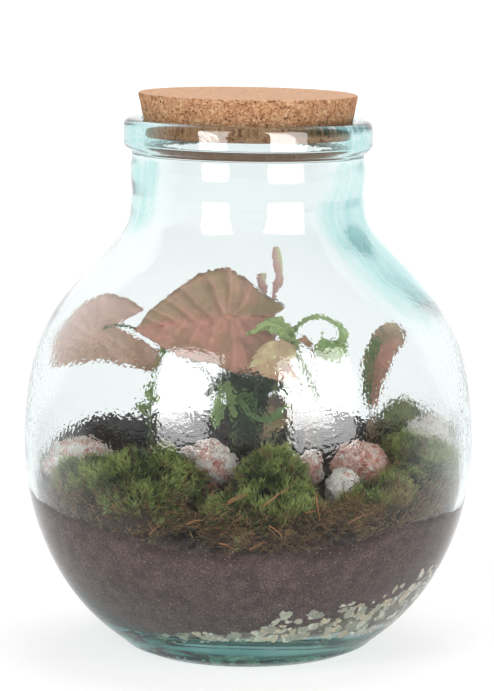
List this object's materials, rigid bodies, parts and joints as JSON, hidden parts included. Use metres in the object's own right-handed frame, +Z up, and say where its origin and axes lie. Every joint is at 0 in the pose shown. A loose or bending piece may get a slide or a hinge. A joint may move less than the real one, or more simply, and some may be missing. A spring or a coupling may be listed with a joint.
{
  "type": "glass plant terrarium",
  "caption": "Corked round glass jar planted as a closed terrarium, with gravel and soil, moss cushions, granite pebbles, arrowhead leaves and small fern fronds.",
  "frame": {"origin": "middle of the foot, on the surface that the jar stands on", "axes": "+Z up through the neck and cork, front of the planting towards -Y, +X to the right of someone looking at the front"},
  "size_m": [0.2792, 0.2792, 0.3471],
  "materials": {
    "glass": "clear recycled glass with a green-blue tint, glossy, slightly rippled",
    "cork": "agglomerated cork, matt, granular with small dark pits",
    "gravel": "pale crushed stone chips, matt",
    "soil": "moist potting soil, matt, crumbly",
    "granite": "broken pink and pale granite, matt, coarse crystals",
    "moss": "living moss, matt and fine-needled, brown at its base",
    "bronze_leaf": "arrowhead leaf, satin, green-bronze with pink veins",
    "pink_leaf": "arrowhead leaf, satin, dusty pink with green edges",
    "dry_leaf": "withering leaf, matt, tan and green",
    "fern_green": "fern frond, satin, fresh to dark green"
  },
  "bodies": {
    "root": {"glass_jar": "glass", "cork_stopper": "cork", "gravel_layer": "gravel", "potting_soil": "soil", "stone_left": "granite", "stone_centre_left": "granite", "stone_small_left": "granite", "stone_small_centre": "granite", "stone_right": "granite", "stone_pale": "granite", "stone_far_right": "granite", "moss_front_left": "moss", "moss_front_centre": "moss", "moss_front_right": "moss", "moss_back_right": "moss", "leaf_large_bronze": "bronze_leaf", "leaf_left_pink": "pink_leaf", "leaf_small_centre": "bronze_leaf", "leaf_right_folded": "dry_leaf", "leaf_low_dry": "dry_leaf", "leaf_small_tan": "dry_leaf", "leaf_young_tall": "pink_leaf", "leaf_young_short": "pink_leaf", "frond_upper": "fern_green", "frond_curled": "fern_green", "frond_ribbon_left": "fern_green", "frond_wavy": "fern_green", "frond_back_left": "fern_green", "frond_back_right": "fern_green", "shoot_left": "fern_green"}
  },
  "joints": []
}
